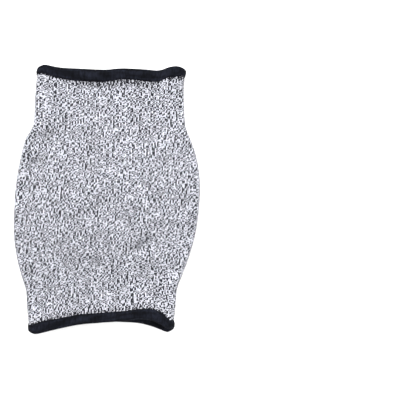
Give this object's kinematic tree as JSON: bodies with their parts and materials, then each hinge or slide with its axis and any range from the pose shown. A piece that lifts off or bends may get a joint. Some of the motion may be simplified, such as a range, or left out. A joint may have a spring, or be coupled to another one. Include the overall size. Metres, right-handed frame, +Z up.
{
  "type": "cut resistant sleeve",
  "caption": "Knitted cut resistant elbow sleeve lying flat: a seamless tube with two close cuffs, a full elbow pouch and a rolled overlock hem round each mouth",
  "frame": {"origin": "on the surface that the sleeve lies on, under the middle of its box", "axes": "+Y runs along the sleeve from the lower mouth to the upper mouth, +X is across it to the right as seen from above, and +Z is up out of the surface"},
  "size_m": [0.1376, 0.1982, 0.0186],
  "materials": {
    "knit": "melange rib knit of light grey, white and near-black yarns, matt and slightly hairy",
    "hem": "near-black overlock thread wound close round the raw edge, matt"
  },
  "bodies": {
    "root": {"knit_sleeve": "knit", "top_hem": "hem", "bottom_hem": "hem"}
  },
  "joints": []
}
